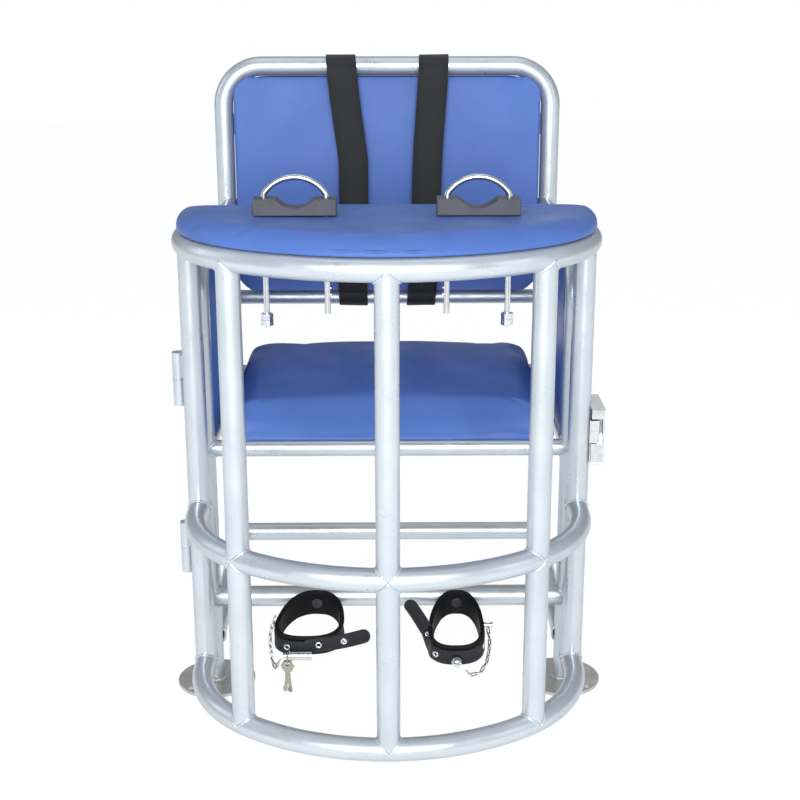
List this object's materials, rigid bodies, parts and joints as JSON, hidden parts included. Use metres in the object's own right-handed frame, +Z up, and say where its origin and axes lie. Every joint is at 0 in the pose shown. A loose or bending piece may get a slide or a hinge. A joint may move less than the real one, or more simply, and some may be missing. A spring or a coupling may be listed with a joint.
{
  "type": "restraint chair",
  "caption": "Tubular steel restraint chair with a hinged bow-front gate, padded table, wrist hoops, ankle cuffs, shoulder straps and padded seat, back and sides.",
  "frame": {"origin": "on the floor, in the middle of the footprint's bounding box", "axes": "+Z up, +Y from the gate towards the back, +X towards the lock side"},
  "size_m": [0.664, 0.78, 0.941],
  "materials": {
    "silver_paint": "satin silver paint",
    "bright_steel": "zinc and nickel plate",
    "key_steel": "worn nickel",
    "plate_steel": "dull brownish steel",
    "vinyl": "smooth royal-blue upholstery vinyl",
    "plywood": "bare plywood",
    "webbing": "black ribbed webbing",
    "cuff_webbing": "black neoprene and ribbed webbing",
    "black_plastic": "matt black plastic"
  },
  "bodies": {
    "chair": {"back_frame": "silver_paint", "back_rail": "silver_paint", "left_side_frame": "silver_paint", "right_side_frame": "silver_paint", "seat_front_rail": "silver_paint", "seat_side_rails": "silver_paint", "seat_rear_rail": "silver_paint", "cuff_rail": "silver_paint", "side_foot_rails": "silver_paint", "rear_foot_rail": "silver_paint", "left_foot_plate": "plate_steel", "right_foot_plate": "plate_steel", "rear_foot_caps": "black_plastic", "seat_board": "plywood", "seat_cushion": "vinyl", "back_board": "plywood", "back_cushion": "vinyl", "board_brackets": "silver_paint", "left_panel_pad": "vinyl", "right_panel_pad": "vinyl", "panel_boards": "plywood", "left_strap": "webbing", "right_strap": "webbing", "hinge_knuckles": "silver_paint", "hinge_pins": "bright_steel", "lock_bracket": "silver_paint", "lock_case": "bright_steel", "left_cuff": "cuff_webbing", "right_cuff": "cuff_webbing", "cuff_bolts": "bright_steel", "left_cuff_lock": "bright_steel", "right_cuff_lock": "bright_steel", "left_cuff_chain": "bright_steel", "right_cuff_chain": "bright_steel", "right_lock_pin": "bright_steel"},
    "gate": {"top_ring": "silver_paint", "middle_ring": "silver_paint", "bottom_ring": "silver_paint", "ring_end_discs": "silver_paint", "gate_rear_bar": "silver_paint", "left_stile": "silver_paint", "right_stile": "silver_paint", "lower_stiles": "silver_paint", "left_post": "silver_paint", "centre_post": "silver_paint", "right_post": "silver_paint", "lower_posts": "silver_paint", "hinge_sleeves": "silver_paint", "striker": "bright_steel", "table_board": "plywood", "table_pad": "vinyl", "left_wrist_block": "black_plastic", "right_wrist_block": "black_plastic"},
    "left_hoop": {"left_hoop": "bright_steel", "left_hoop_nuts": "bright_steel"},
    "right_hoop": {"right_hoop": "bright_steel", "right_hoop_nuts": "bright_steel"},
    "lock_bolt": {"lock_bolt": "bright_steel"},
    "keys": {"cuff_keys": "key_steel"}
  },
  "joints": [
    {"name": "gate_hinge", "type": "hinge", "parent": "chair", "child": "gate", "pos_m": [-0.305, -0.087, 0.372], "axis": [0, 0, -1], "range_deg": [0, 170]},
    {"name": "left_hoop_lift", "type": "slide", "parent": "gate", "child": "left_hoop", "axis": [0, 0, 1], "range_m": [0, 0.1]},
    {"name": "right_hoop_lift", "type": "slide", "parent": "gate", "child": "right_hoop", "axis": [0, 0, 1], "range_m": [0, 0.1]},
    {"name": "bolt_throw", "type": "slide", "parent": "chair", "child": "lock_bolt", "axis": [0, 0, 1], "range_m": [0, 0.028]},
    {"name": "keys_swing", "type": "hinge", "parent": "chair", "child": "keys", "pos_m": [-0.1515, -0.1746, 0.1], "axis": [-1, 0, 0], "range_deg": [0, 60]}
  ]
}
